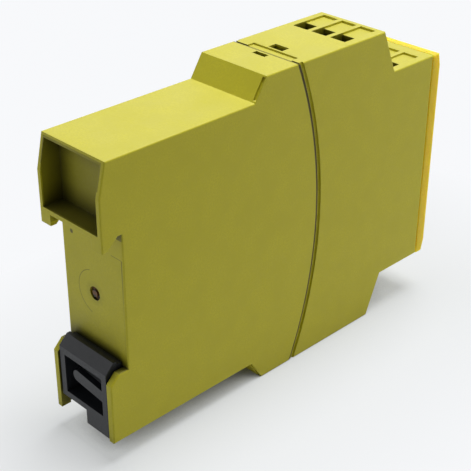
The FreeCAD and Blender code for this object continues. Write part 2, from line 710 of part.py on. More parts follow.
def cell_mouths():
    """Wire holes with their shallow fields, and the screw wells, for both tiers on top and underneath."""
    tools = []
    for tier, shift, drop in (("upper", as_size(0), as_size(0)), ("lower", s.tier_pitch, s.tier_drop)):
        start = at.cell_start + shift
        top = s.total_height - drop
        holes = []
        fields = []
        for column in columns:
            left = s.cell_pitch * column - s.cell_width / 2
            right = s.cell_pitch * column + s.cell_width / 2
            holes.append(rectangle(left, right, start, start + s.wire_hole))
            fields.append(rectangle(left, right, start, start + s.cell_length))
        hole_low = pocket_top - drop - s.fit
        tools.append(prism("wire_holes_top_" + tier, "plan", holes, hole_low, top + OVER))
        tools.append(prism("fields_top_" + tier, "plan", fields, top - s.field_drop, top + OVER))
        tools.append(prism("wire_holes_bottom_" + tier, "plan", holes, drop - OVER,
                           s.total_height - hole_low))
        tools.append(prism("fields_bottom_" + tier, "plan", fields, drop - OVER, drop + s.field_drop))
        axis = upper_axis - drop
        wells = []
        for column in columns:
            wells.append((s.cell_pitch * column, axis, s.well_radius))
            wells.append((s.cell_pitch * column, s.total_height - axis, s.well_radius))
        tools.append(prism("wells_" + tier, "front", wells, pocket_end + shift - s.fit,
                           head_end + shift + s.cover_thickness + OVER))
    return tools


def front_openings():
    """Holes of the front wall for the light rods and the cover's hooks."""
    rods = [(lamp_axis, middle + s.lamp_pitch * place, s.guide_radius + s.fit) for place in columns]
    slots = []
    outer = inner_width
    inner = inner_width - s.snap_thickness - s.fit * 2
    for side in (1, -1):
        centre = middle + (cells_low - s.hook_offset - middle) * side
        low = centre - s.snap_width / 2 - s.fit
        high = centre + s.snap_width / 2 + s.fit
        slots.append(rectangle(inner, outer, low, high))
        slots.append(rectangle(-outer, -inner, low, high))
    return [
        prism("rod_holes", "front", rods, front_inner - OVER, body_end + OVER),
        prism("hook_slots", "front", slots, front_inner - OVER, body_end + OVER),
    ]


def front_cover():
    """Yellow cover: a plate with ends that slope back, driver holes and four snap hooks."""
    low = s.tier_drop
    high = s.total_height - s.tier_drop
    face = s.total_depth
    cover = Piece("front_cover")
    plate = body_end + s.cover_gap
    outline = [
        (plate, low), (face - s.cover_lean, low), (face, low + s.cover_lean_height),
        (face, high - s.cover_lean_height), (face - s.cover_lean, high), (plate, high),
    ]
    cover.add("side", [outline], -half_width, half_width)
    rear_plane = half_depth.value - plate.value
    cover.soften(s.cover_round, lambda edge: all(v.Y < rear_plane - 1e-6 for v in edge.Vertexes))
    inset_side = half_width - s.cover_inset
    cover.add("side", [rectangle(body_end, plate + s.fit, low + s.cover_inset, high - s.cover_inset)],
              -inset_side, inset_side)
    holes = []
    for column in columns:
        holes.append((s.cell_pitch * column, lower_axis, s.driver_radius))
        holes.append((s.cell_pitch * column, s.total_height - lower_axis, s.driver_radius))
        holes.append((lamp_axis, middle + s.lamp_pitch * column, s.guide_radius + s.fit))
    cover.take("front", holes, body_end - OVER, face + OVER)
    outer = inner_width - s.fit
    inner = outer - s.snap_thickness
    nib_end = front_inner - s.fit
    tip = body_end - s.snap_length
    for side in (1, -1):
        centre = middle + (cells_low - s.hook_offset - middle) * side
        low = centre - s.snap_width / 2
        high = centre + s.snap_width / 2
        for hand in (1, -1):
            hook = [(outer * hand, tip), (outer * hand, body_end + s.wall / 2),
                    (inner * hand, body_end + s.wall / 2), (inner * hand, nib_end),
                    ((inner - s.snap_nib) * hand, nib_end),
                    ((inner - s.snap_nib) * hand, nib_end - s.snap_nib_length / 2),
                    (inner * hand, tip)]
            cover.add("plan", [hook], low, high)
    return cover.body


def rail_clip():
    """Black clip that slides down to free the rail: frame, window with spring arm, nose and tab."""
    back = s.clip_pocket - s.clip_gap
    seat_back = s.seat_depth - s.clip_gap
    shoulder = hung.ear_top - s.clip_gap
    clip = Piece("rail_clip")
    outline = [
        (s.clip_rear, hung.clip_low), (s.clip_rear, hung.clip_high), (s.nose_start, hung.nose_height),
        (s.nose_end, hung.nose_height), (s.nose_end, hung.clip_seat), (seat_back, hung.clip_seat),
        (seat_back, shoulder), (back, shoulder), (back, hung.clip_low),
    ]
    clip.add("side", [outline], -clip_side, clip_side)
    window_side = clip_side - s.clip_stile
    window = rectangle(-window_side, window_side, hung.window_low, hung.window_high)
    clip.take("front", [window], s.clip_rear - OVER, back - s.clip_web)
    arm_rear = s.clip_rear + s.spring_inset
    arm_front = arm_rear + s.spring_thickness
    arm_round = s.spring_height / 2
    arm_root = -window_side - s.fit
    arm_tip = s.spring_end - arm_round
    tip_low = hung.spring_low + s.spring_rise
    arm = [(arm_root, hung.spring_low), (arm_tip, tip_low), (arm_tip, tip_low + s.spring_height),
           (arm_root, hung.spring_low + s.spring_height)]
    clip.add("front", [arm], arm_rear, arm_front)
    clip.add("front", [(arm_tip, tip_low + arm_round, arm_round)], arm_rear, arm_front)
    tab = rectangle(-clip_side, -s.tab_inner, hung.tab_low, hung.clip_low + s.fit)
    clip.add("front", [tab], s.clip_rear, s.clip_rear + s.tab_thickness)
    rib_side = inner_width + s.groove_depth - s.clip_gap
    for hand in (1, -1):
        near, far = sorted(((clip_side - s.fit) * hand, rib_side * hand), key=lambda size: size.value)
        clip.add("side", [rectangle(s.rib_start, s.rib_start + s.rib_width, hung.rib_low, hung.rib_high)],
                 near, far)
    return clip.body


def clamp_screw(name, across, height, shift):
    """Turned clamp screw with a cross recess in its head."""
    tip = bar_end + s.tip_gap + shift
    neck = head_start + shift
    end = head_end + shift
    screw = Piece(name)
    screw.turn(across, height, [
        (tip, 0), (tip, s.screw_radius), (neck, s.screw_radius), (neck, s.head_radius),
        (end, s.head_radius), (end, 0),
    ])
    reach = s.cross_length / 2
    half = s.cross_width / 2
    cross = [(half, half), (reach, half), (reach, -half), (half, -half), (half, -reach), (-half, -reach),
             (-half, -half), (-reach, -half), (-reach, half), (-half, half), (-half, reach), (half, reach)]
    recess = [(across + right, height + up) for right, up in cross]
    screw.take("front", [recess], end - s.cross_depth, end + OVER)
    return screw.body


def clamp_cage(name, across, height, shift):
    """Bent steel cage, open upwards and downwards for the wire, with a threaded front wall."""
    half = s.cage_width / 2
    outer = rectangle(across - half, across + half, cage_start + shift, cage_end + shift)
    inner = rectangle(across - half + s.cage_side, across + half - s.cage_side,
                      cage_start + s.cage_back + shift, cage_window_end + shift)
    cage = Piece(name)
    low = height - s.cage_height / 2
    high = height + s.cage_height / 2
    cage.add("plan", [outer], low, high)
    cage.take("plan", [inner], low - OVER, high + OVER)
    cage.take("front", [(across, height, s.screw_radius + s.thread_gap)],
              cage_window_end + shift - OVER, cage_end + shift + OVER)
    return cage.body


def contact_bar(name, across, height, shift, side):
    """Contact bar from the clamp to the terminal board, with a pin through the board."""
    wide = s.bar_width / 2
    pin = s.bar_thickness / 2
    outer = height + (s.cage_height / 2) * side
    face = terminal_board_top if side == 1 else s.total_height - terminal_board_top
    end = face - (s.board_thickness + s.pin_length) * side
    outline = [
        (across - wide, outer), (across + wide, outer), (across + wide, face), (across + pin, face),
        (across + pin, end), (across - pin, end), (across - pin, face), (across - wide, face),
    ]
    bar = Piece(name)
    bar.add("front", [outline], bar_start + shift, bar_end + shift)
    return bar.body


def main_board():
    """Upright board with a tongue between the terminal boards."""
    high = rear_top - s.wall - s.board_edge_gap
    half_outline = [
        (s.board_rear, high), (at.board_shoulder, high), (at.board_shoulder, terminal_board_low),
        (at.board_front, terminal_board_low),
    ]
    board = Piece("main_board")
    board.add("side", [half_outline + upside_down(half_outline)[::-1]], board_face, board_back)
    return board.body


def terminal_board(name, low, high):
    """Board across the front housing that carries the contact bars of one side."""
    half = inner_width - s.terminal_board_gap
    board = Piece(name)
    board.add("plan", [rectangle(-half, half, at.terminal_board_rear, at.board_front)], low, high)
    holes = []
    for column in columns:
        for shift in (as_size(0), s.tier_pitch):
            across = s.cell_pitch * column
            depth = bar_start + shift
            holes.append(rectangle(across - s.bar_thickness / 2 - s.fit, across + s.bar_thickness / 2 + s.fit,
                                   depth - s.fit, depth + s.bar_thickness + s.fit))
    board.take("plan", holes, low - OVER, high + OVER)
    return board.body


def relay(name, low):
    """Sealed relay that stands on the component side of the main board, with rounded upright edges."""
    part = Piece(name)
    part.add("side", [rectangle(at.relay_start, at.relay_start + s.relay_length, low, low + s.relay_width)],
             board_face - s.relay_height, board_face)
    part.soften(s.part_round, lambda edge: runs_along(edge, "x"))
    return part.body


def controller_chip(name, start):
    """Square chip at mid height on the component side of the main board."""
    part = Piece(name)
    half = s.chip_size / 2
    part.add("side", [rectangle(start, start + s.chip_size, middle - half, middle + half)],
             board_face - s.chip_height, board_face)
    return part.body


def transformer():
    """Core with three legs, and the winding round its middle leg."""
    low = middle - s.core_low
    high = low + s.core_height
    start = s.core_start
    end = start + s.core_length
    leg_start = start + (s.core_length - s.core_leg) / 2
    leg_end = leg_start + s.core_leg
    coil_high = board_face
    stack_high = coil_high - s.coil_wall
    stack_low = stack_high - s.core_stack
    coil_low = stack_low - s.coil_wall
    core = Piece("transformer_core")
    core.add("side", [rectangle(start, end, low, high)], stack_low, stack_high)
    core.take("side", [
        rectangle(start + s.core_yoke, leg_start, low + s.core_yoke, high - s.core_yoke),
        rectangle(leg_end, end - s.core_yoke, low + s.core_yoke, high - s.core_yoke),
    ], stack_low - OVER, stack_high + OVER)
    coil = Piece("transformer_coil")
    winding_low = low + s.core_yoke + s.coil_gap
    winding_high = high - s.core_yoke - s.coil_gap
    coil.add("side", [rectangle(start + s.core_yoke + s.coil_gap, end - s.core_yoke - s.coil_gap,
                                winding_low, winding_high)], coil_low, coil_high)
    coil.take("plan", [rectangle(stack_low - s.coil_gap, stack_high + s.coil_gap,
                                 leg_start - s.coil_gap, leg_end + s.coil_gap)],
              winding_low - OVER, winding_high + OVER)
    return core.body, coil.body


def capacitor(name, depth):
    """Round capacitor that stands on the board."""
    part = Piece(name)
    part.add("side", [(depth, rear_low + s.wall + s.capacitor_height, s.capacitor_radius)],
             board_face - s.capacitor_length, board_face)
    return part.body


def varistor():
    """Disc on edge against the board."""
    low = middle + s.varistor_low
    part = Piece("varistor")
    part.add("plan", [(board_face - s.varistor_radius, at.varistor_depth, s.varistor_radius)],
             low, low + s.varistor_thickness)
    return part.body


def fuse_link():
    """Glass fuse with a metal cap at each end, along the board."""
    tube = s.fuse_radius - s.fuse_neck
    start = at.fuse_start
    end = start + s.fuse_length
    part = Piece("fuse_link")
    part.turn(board_face - s.fuse_radius, rear_low + s.wall + s.fuse_height, [
        (start, 0), (start, s.fuse_radius), (start + s.fuse_cap, s.fuse_radius),
        (start + s.fuse_cap, tube), (end - s.fuse_cap, tube), (end - s.fuse_cap, s.fuse_radius),
        (end, s.fuse_radius), (end, 0),
    ])
    return part.body


def status_lamp(name, height):
    """Small lamp on the board, with a dome towards the front."""
    half = s.lamp_size / 2
    dome_end = at.guide_start - s.guide_gap
    dome_start = dome_end - s.lamp_dome
    lamp = Piece(name)
    lamp.add("front", [rectangle(lamp_axis - half, board_face, height - half, height + half)],
             dome_end - s.lamp_length, dome_start)
    lamp.add("front", [(lamp_axis, height, half - s.fit)], dome_start, dome_end)
    return lamp.body


def light_guide():
    """Clear moulding: three rods on one strip behind the front wall."""
    half = s.guide_bar_width / 2
    reach = s.lamp_pitch + s.guide_radius * 2
    guide = Piece("light_guide")
    guide.add("front", [rectangle(lamp_axis - half, lamp_axis + half, middle - reach, middle + reach)],
              front_inner - s.guide_bar_thickness, front_inner)
    for place in columns:
        guide.add("front", [(lamp_axis, middle + s.lamp_pitch * place, s.guide_radius)],
                  at.guide_start, s.total_depth)
    return guide.body


def build():
    """Builds every piece and returns them by node name."""
    pieces = {
        "rear_housing": rear_housing(),
        "front_housing": front_housing(),
        "front_cover": front_cover(),
        "rail_clip": rail_clip(),
        "main_board": main_board(),
        "terminal_board_top": terminal_board("terminal_board_top", terminal_board_low,
                                             terminal_board_top),
        "terminal_board_bottom": terminal_board("terminal_board_bottom",
                                                s.total_height - terminal_board_top,
                                                s.total_height - terminal_board_low),
        "varistor": varistor(),
        "fuse_link": fuse_link(),
        "light_guide": light_guide(),
    }
    pieces["transformer_core"], pieces["transformer_coil"] = transformer()
    for number, side in ((1, 1), (2, -1)):
        centre = middle + s.relay_spacing / 2 * side
        name = "relay_%d" % number
        pieces[name] = relay(name, centre - s.relay_width / 2)
        name = "controller_chip_%d" % number
        pieces[name] = controller_chip(name, at.chip_start + s.chip_pitch * (number - 1))
        name = "capacitor_%d" % number
        pieces[name] = capacitor(name, s.capacitor_start + s.capacitor_pitch * (number - 1))
    for number, place in enumerate(columns, start=1):
        name = "status_lamp_%d" % number
        pieces[name] = status_lamp(name, middle + s.lamp_pitch * place)
    for number, (across, height, shift, side) in enumerate(terminals(), start=1):
        name = "clamp_screw_%d" % number
        pieces[name] = clamp_screw(name, across, height, shift)
        name = "clamp_cage_%d" % number
        pieces[name] = clamp_cage(name, across, height, shift)
        name = "contact_bar_%d" % number
        pieces[name] = contact_bar(name, across, height, shift, side)
    return pieces


def export(pieces):
    """Checks every object and writes one file for each piece."""
    for item in doc.Objects:
        if "Invalid" in item.State or "Error" in item.State:
            raise RuntimeError("%s failed: %s" % (item.Name, item.State))
    for node, item in pieces.items():
        shape = item.Shape
        if shape.isNull() or not shape.isValid() or len(shape.Solids) != 1:
            raise RuntimeError("%s has no single valid solid" % node)
    os.makedirs("parts", exist_ok=True)
    for node, item in pieces.items():
        item.Label = node
        item.Shape.exportStep("parts/%s.step" % node)


made = build()
doc.recompute()
export(made)
print("%d pieces" % len(made))
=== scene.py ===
import json
from math import cos, radians, sin

import bpy
from mathutils import Matrix, Vector


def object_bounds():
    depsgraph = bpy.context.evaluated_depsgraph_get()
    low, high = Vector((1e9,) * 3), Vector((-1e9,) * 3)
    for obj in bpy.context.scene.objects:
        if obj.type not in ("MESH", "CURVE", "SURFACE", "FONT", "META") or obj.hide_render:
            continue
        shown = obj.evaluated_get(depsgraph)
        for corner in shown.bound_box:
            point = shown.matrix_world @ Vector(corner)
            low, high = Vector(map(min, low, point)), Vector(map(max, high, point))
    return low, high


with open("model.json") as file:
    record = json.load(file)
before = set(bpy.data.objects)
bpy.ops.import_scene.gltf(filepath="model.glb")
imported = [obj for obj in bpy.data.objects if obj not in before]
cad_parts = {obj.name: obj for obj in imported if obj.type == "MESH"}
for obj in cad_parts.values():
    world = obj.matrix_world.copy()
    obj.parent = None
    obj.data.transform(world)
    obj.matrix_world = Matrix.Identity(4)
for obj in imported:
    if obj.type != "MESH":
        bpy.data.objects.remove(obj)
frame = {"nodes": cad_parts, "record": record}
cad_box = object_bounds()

# Safety relay module seen from behind and above, on a pale floor. All lengths are in metres.
# Width runs along X, depth along Y towards the rail and height along Z, as in the CAD.
MM = 0.001
WHITE = (1.0, 1.0, 1.0)
HALF_WIDTH, REAR, TOP = cad_box[1]
MIDDLE_HEIGHT = TOP / 2

# Camera, fitted to the corners of the housing in the 471 x 471 photograph
FRAME_PIXELS = 471
FOCAL_PIXELS = 1154.8
SENSOR_WIDTH = 36.0                  # in millimetres, as Blender's lens is
CAMERA_PLACE = Vector((-187.26, 193.31, 187.27)) * MM
CAMERA_TURN = radians(225.349)
CAMERA_RISE = radians(29.380)
CAMERA_ROLL = radians(0.251)
CAMERA_NEAR = 10.0 * MM

# Lamps: a softbox above, a small warm fill by the front on the camera's side, and a large
# lamp that faces the rail side
LIGHT_TARGET = Vector((0.0, 0.0, 0.045))
SOFTBOX_PLACE = Vector((0.0, -0.28, 1.0))
SOFTBOX_SIZE = 0.5
SOFTBOX_POWER = 12.0
FILL_PLACE = Vector((-0.25, -0.36, 0.12))
FILL_SIZE = 0.3
FILL_POWER = 0.30
FILL_COLOUR = (1.0, 0.93, 0.75)
REAR_PLACE = Vector((0.33, 0.52, 0.14))
REAR_SIZE = 0.7
REAR_POWER = 0.80

# Room: its level lights the object, and the backdrop is what the camera, gloss and glass see
ROOM_LEVEL = 0.06
BACKDROP_LOW = (0.96, 0.96, 0.98)
BACKDROP_HIGH = (0.25, 0.25, 0.26)
BACKDROP_RISE = (0.60, 0.95)         # upward share of the directions between low and high

# Floor, which fades to white away from the object's footprint
FLOOR_SIZE = 4.0
FLOOR_COLOUR = (0.64, 0.64, 0.645)
FLOOR_SEEN = (0.68, 0.70, 0.715)
FLOOR_NEAR = (0.785, 0.805, 0.805)
FLOOR_FAR = (0.935, 0.945, 0.965)
FLOOR_ROUGHNESS = 0.6
FLOOR_SPECULAR = 0.1
CLOUD_GRAIN = 0.12
CLOUD_SHARE = 0.02
FOOTPRINT = (HALF_WIDTH, REAR, 0.0)
FADE_END = 72.0 * MM
FADE_LOW = 0.58
FADE_CURVE = 0.5
# Painted shadow: the floor's glow is dimmed where the body stands close over it
SHADE_REACH = 20.0 * MM              # the glow goes out where the body stands this close
SHADE_RANGE = (0.12, 0.5)

# Marks of the mould on the rail seat: the gate and its stub, painted near black as shade in its
# dish with patches of brown stain, a darker halo round it, an arc round them, the outline of an
# insert and a pin mark
SEAT_DEPTH = REAR - 5.7 * MM
SEAT_SLACK = 0.3 * MM
GATE_HEIGHT = 41.6 * MM
GATE_EDGE = (1.7 * MM, 1.9 * MM)
GATE_DEPTH = 1.5 * MM
GATE_SHADE_AND_STAIN = ((0.006, 0.005, 0.002), (0.15, 0.06, 0.004))
GATE_PATCH_GRAIN = 1.2 * MM
HALO_EDGE = (1.9 * MM, 3.6 * MM)
HALO_SHARE = 0.45
HALO_GRAIN = 2.0 * MM
ARC_RADIUS = 6.05 * MM
ARC_SIDE = 1.5 * MM
ARC_WIDTH = 0.16 * MM
INSERT_FOOT = 40.0 * MM
INSERT_TOP = 54.9 * MM
INSERT_START = -6.9 * MM
INSERT_SIDE = -10.6 * MM
INSERT_TOP_WIDTH = 0.14 * MM
INSERT_SIDE_WIDTH = 0.24 * MM
INSERT_FADE = (0.2, 1.3)             # strength of the side line at its foot and its top
PIN_PLACE = Vector((7.6 * MM, SEAT_DEPTH, 55.5 * MM))
PIN_EDGE = (0.40 * MM, 0.70 * MM)
PIN_STRENGTH = 1.6
LINE_CORE = 0.4                      # share of a line's width that has its full strength
MARK_SHARE = 0.55
MARK_TONE = 0.12

# Wire holes in two tiers, in which the shade deepens from the rim down
HOLE_REACH = (-26.6 * MM, -21.2 * MM)
HOLE_RIM = MIDDLE_HEIGHT - 0.3 * MM  # off the middle height, up or down
HOLE_FADE = 3.0 * MM
HOLE_RIM_SHADE = 0.35
TIERS = ((0.0, 0.0), (19.5 * MM, 12.15 * MM))  # each tier's step to the front and step down
CELLS_SIDE = 9.2 * MM

# Curved seam between the housings, its line of painted shade, and the latch windows beside it,
# with painted shade inside them
SEAM_DEPTH = 101.41 * MM             # the axis of the seam's arc
SEAM_LINE = (111.66 * MM, 112.72 * MM)
SEAM_EDGE = (111.60 * MM, 112.50 * MM)
SEAM_EDGE_SHARE = 0.75
SEAM_REACH = (-15.0 * MM, 2.0 * MM)
SEAM_CUT = 1.5 * MM
SEAM_SHADE = (0.075, 0.058, 0.0)
LATCH_SIDE = 8.6 * MM
LATCH_REACH = (-9.0 * MM, 3.5 * MM)
LATCH_RIM = MIDDLE_HEIGHT - 0.5 * MM
LATCH_FADE = 1.6 * MM
LATCH_RIM_SHADE = 0.5

# Painted shade in the hollow box above the rail seat and on the seat's foot round the rail clip
RECESS_DEPTH = SEAT_DEPTH - 0.9 * MM
SIDE_FACE = HALF_WIDTH - 0.05 * MM
BARE_HEIGHTS = (40.0 * MM, 60.0 * MM)
BOX_HEIGHTS = (63.0 * MM, 80.5 * MM)
BOX_SIDE = 10.3 * MM
BOX_MOUTH = REAR - 0.4 * MM
BOX_SHADE = 0.45
BOX_OPENNESS = (6.0 * MM, 1.7)       # reach and power
CLIP_OPENNESS = (10.0 * MM, 2.4)
DEEP_SHADE_TONE = 0.02

# Painted sheen: faces that look up are made paler, as a bright surround's reflection on them
# would be
UPWARD = (0.75, 0.95)                # upward share of the face's normal
TOP_SHEEN_COLOUR = (0.80, 0.80, 0.78)
TOP_SHEEN_SHARE = (0.05, 0.08)
TOP_SHEEN_GRAIN = 9.0 * MM

# Plastic: mottled by its flow, speckled, paler at worn edges and a little uneven
MOTTLE_GRAIN = 6.0 * MM
MOTTLE_TONES = (0.96, 1.04)
SPECKLE_SIZE = 2.5                   # in grains of the surface, as is the next
GLOSS_SIZE = 4.0
SPECKLE_TONE = 0.95
WORN_RADIUS = 0.25 * MM
WORN_TURN = (0.99, 0.80)             # cosine between the face and the worn edge's normal
WORN_GRAIN = 3.0 * MM
WORN_TONE = 1.25
PALENESS = 0.3
PLASTIC_SPREAD = (-0.05, 0.06)       # of the roughness
PLASTIC_RADIUS = 0.12 * MM
SAG_GRAIN = 14.0 * MM
SAG_HEIGHT = 0.02 * MM
GLOW_REACH = 6.0 * MM
GLOW_TINT = (1.0, 0.7, 0.2)

# Metal: tarnished and brushed
TARNISH_GRAIN = 1.5 * MM
TARNISH_TONE = 0.72
BRUSH_GRAIN = 0.12 * MM
BRUSH_STRETCH = (1.0, 0.08, 1.0)
METAL_GRAIN = 0.4 * MM
METAL_SPREAD = (-0.06, 0.08)
METAL_RADIUS = 0.08 * MM

# Boards, coil and clear plastic
TRACK_LENGTH = 9.0 * MM
LACQUER_GRAIN = 0.3 * MM
LACQUER_RELIEF = 0.01 * MM
TURN_SPACING = 2.2 * MM
TURN_RELIEF = 0.05 * MM
HAZE_GRAIN = 1.0 * MM
HAZE_TONE = 0.93
POLISH_GRAIN = 0.5 * MM

# Nodes
NOISE_SPREAD = (0.3, 0.7)            # nearly all values of a noise lie between these
OPENNESS_SAMPLES = 8
BEVEL_SAMPLES = 6


class Nodes:
    """Builds the node tree of a material or of the world."""

    def __init__(self, owner, output="ShaderNodeOutputMaterial"):
        owner.use_nodes = True
        self.owner = owner
        self.tree = owner.node_tree
        self.tree.nodes.clear()
        self.output = self.add(output)
        self.coordinates = self.add("ShaderNodeTexCoord").outputs
        self.place = self.coordinates["Object"]

    def add(self, kind, inputs=None, **settings):
        """Adds a node, makes its settings and feeds its inputs, by name or number."""
        node = self.tree.nodes.new(kind)
        for key, value in settings.items():
            setattr(node, key, value)
        for key, value in (inputs or {}).items():
            self.feed(value, node.inputs[key])
        return node

    def feed(self, value, target):
        """Links another node's socket, or sets a number, a vector or a colour."""
        if isinstance(value, bpy.types.NodeSocket):
            self.tree.links.new(value, target)
        elif target.type == "RGBA":
            target.default_value = (*value, 1.0)
        else:
            target.default_value = value

    def finish(self, shader):
        """Sends the last shader to the tree's output and returns the tree's owner."""
        self.feed(shader, self.output.inputs["Surface"])
        return self.owner

    def math(self, operation, *values):
        """One arithmetic step on sockets or numbers."""
        node = self.add("ShaderNodeMath", dict(enumerate(values)), operation=operation)
        return node.outputs["Value"]

    def vector_math(self, operation, *values):
        """One step on vectors, with the outputs Vector and Value."""
        node = self.add("ShaderNodeVectorMath", dict(enumerate(values)), operation=operation)
        return node.outputs

    def product(self, first, *others):
        """All values multiplied."""
        for other in others:
            first = self.math("MULTIPLY", first, other)
        return first

    def largest(self, first, *others):
        """The largest of all values."""
        for other in others:
            first = self.math("MAXIMUM", first, other)
        return first

    def inverse(self, value):
        """1 minus the value."""
        return self.math("SUBTRACT", 1.0, value)

    def off(self, value, middle):
        """How far the value is from a middle."""
        return self.math("ABSOLUTE", self.math("SUBTRACT", value, middle))

    def within(self, value, low, high):
        """1 where the value lies between two limits."""
        return self.product(self.math("GREATER_THAN", value, low),
                            self.math("LESS_THAN", value, high))

    def hypotenuse(self, first, second):
        """Distance that two legs at a right angle span."""
        squares = [self.math("MULTIPLY", side, side) for side in (first, second)]
        return self.math("SQRT", self.math("ADD", *squares))

    def remap(self, source, between, to=(0.0, 1.0)):
        """Carries one range of values over to another, and stops at its ends."""
        node = self.add("ShaderNodeMapRange", {
            "Value": source, "From Min": between[0], "From Max": between[1],
            "To Min": to[0], "To Max": to[1]})
        return node.outputs["Result"]

    def parts(self, vector):
        """The X, Y and Z of a vector."""
        split = self.add("ShaderNodeSeparateXYZ", {"Vector": vector}).outputs
        return split["X"], split["Y"], split["Z"]

    def noise(self, grain, detail=3.0, roughness=0.5):
        """Noise whose features are about one grain wide."""
        node = self.add("ShaderNodeTexNoise", {
            "Vector": self.place, "Scale": 1.0 / grain, "Detail": detail,
            "Roughness": roughness})
        return node.outputs["Fac"]

    def patches(self, grain, between=NOISE_SPREAD, to=(0.0, 1.0), detail=3.0):
        """Noise in patches about one grain wide, from one value to another."""
        return self.remap(self.noise(grain, detail), between, to)

    def openness(self, reach, power):
        """1 on open faces, towards 0 in recesses about as deep as the reach."""
        node = self.add("ShaderNodeAmbientOcclusion", {"Distance": reach},
                        samples=OPENNESS_SAMPLES)
        return self.math("POWER", node.outputs["AO"], power)

    def mix(self, factor, first, second):
        """Blends two colours; 0, 6, 7 and 2 are the numbers of the colour sockets."""
        node = self.add("ShaderNodeMix", {0: factor, 6: first, 7: second}, data_type="RGBA")
        return node.outputs[2]

    def mix_shaders(self, factor, first, second):
        """Blends two shaders."""
        node = self.add("ShaderNodeMixShader", {0: factor, 1: first, 2: second})
        return node.outputs["Shader"]

    def bump(self, height, distance, normal=None):
        """Normal of a relief, over another normal where one is given."""
        node = self.add("ShaderNodeBump", {"Height": height, "Distance": distance})
        if normal is not None:
            self.feed(normal, node.inputs["Normal"])
        return node.outputs["Normal"]

    def soft_edge(self, radius):
        """Normal that runs smoothly over sharp edges."""
        node = self.add("ShaderNodeBevel", {"Radius": radius}, samples=BEVEL_SAMPLES)
        return node.outputs["Normal"]

    def principled(self, inputs):
        """Blender's general surface shader."""
        return self.add("ShaderNodeBsdfPrincipled", inputs).outputs["BSDF"]


def material_nodes(name):
    """Empty node tree of a new material."""
    return Nodes(bpy.data.materials.new(name))


def shade(colour, factor):
    """The colour made lighter or darker."""
    return tuple(min(channel * factor, 1.0) for channel in colour)


def spread(value, by):
    """The range round a value."""
    return value + by[0], value + by[1]


def edge_mask(nodes, radius):
    """1 along sharp outer edges and 0 on flat faces."""
    face = nodes.add("ShaderNodeNewGeometry").outputs["Normal"]
    turn = nodes.vector_math("DOT_PRODUCT", nodes.soft_edge(radius), face)["Value"]
    return nodes.remap(turn, WORN_TURN)


def upward_mask(nodes):
    """1 on faces that look up."""
    normal = nodes.add("ShaderNodeNewGeometry").outputs["True Normal"]
    return nodes.remap(nodes.parts(normal)[2], UPWARD)


def seen_mask(nodes):
    """1 for what the camera sees, directly or through gloss and glass."""
    paths = nodes.add("ShaderNodeLightPath").outputs
    return nodes.largest(paths["Is Camera Ray"], paths["Is Glossy Ray"],
                         paths["Is Transmission Ray"])


def line_mask(nodes, value, middle, width):
    """1 where the value meets a line's middle, and 0 beyond the line's width."""
    return nodes.remap(nodes.off(value, middle), (width * LINE_CORE, width), (1.0, 0.0))


def seat_marks(nodes):
    """Two masks on the rail seat: one for the mould's fine marks and the darker halo round the
    gate, one for the gate, which gets painted shade and brown stain.
    """
    across, depth, height = nodes.parts(nodes.place)
    on_seat = nodes.math("COMPARE", depth, SEAT_DEPTH, SEAT_SLACK)
    radius = nodes.hypotenuse(across, nodes.math("SUBTRACT", height, GATE_HEIGHT))
    arc = nodes.product(line_mask(nodes, radius, ARC_RADIUS, ARC_WIDTH),
                        nodes.math("GREATER_THAN", across, ARC_SIDE))
    top_line = nodes.product(line_mask(nodes, height, INSERT_TOP, INSERT_TOP_WIDTH),
                             nodes.within(across, INSERT_SIDE, INSERT_START))
    side_line = nodes.product(line_mask(nodes, across, INSERT_SIDE, INSERT_SIDE_WIDTH),
                              nodes.math("LESS_THAN", height, INSERT_TOP),
                              nodes.remap(height, (INSERT_FOOT, INSERT_TOP), INSERT_FADE))
    away = nodes.vector_math("DISTANCE", nodes.place, PIN_PLACE)["Value"]
    pin = nodes.remap(away, PIN_EDGE, (PIN_STRENGTH, 0.0))
    # darker halo round the gate
    gate_halo = nodes.product(nodes.remap(radius, HALO_EDGE, (HALO_SHARE, 0.0)),
                          nodes.patches(HALO_GRAIN, between=(0.35, 0.60), to=(0.3, 1.0)))
    marks = nodes.product(nodes.largest(arc, top_line, side_line, pin, gate_halo), on_seat)
    gate = nodes.product(nodes.remap(radius, GATE_EDGE, (1.0, 0.0)),
                         nodes.math("GREATER_THAN", depth, SEAT_DEPTH - GATE_DEPTH))
    return marks, gate


def cell_shade(nodes):
    """Grows to 1 down the walls of the wire holes, where no light reaches."""
    across, depth, height = nodes.parts(nodes.place)
    off_middle = nodes.off(height, MIDDLE_HEIGHT)
    shades = []
    for forward, down in TIERS:
        rear_end, front_end = HOLE_REACH[1] - forward, HOLE_REACH[0] - forward
        rim = HOLE_RIM - down
        shades.append(nodes.product(
            nodes.within(depth, front_end, rear_end),
            nodes.math("LESS_THAN", off_middle, rim),
            nodes.remap(off_middle, (rim, rim - HOLE_FADE), (HOLE_RIM_SHADE, 1.0))))
    inside = nodes.math("LESS_THAN", nodes.math("ABSOLUTE", across), CELLS_SIDE)
    return nodes.product(nodes.largest(*shades), inside)


def latch_shade(nodes):
    """Grows to 1 inside the latch windows and the wide part of the seam."""
    across, depth, height = nodes.parts(nodes.place)
    off_middle = nodes.off(height, MIDDLE_HEIGHT)
    return nodes.product(
        nodes.math("LESS_THAN", nodes.math("ABSOLUTE", across), LATCH_SIDE),
        nodes.within(depth, *LATCH_REACH),
        nodes.math("LESS_THAN", off_middle, LATCH_RIM),
        nodes.remap(off_middle, (LATCH_RIM, LATCH_RIM - LATCH_FADE), (LATCH_RIM_SHADE, 1.0)))


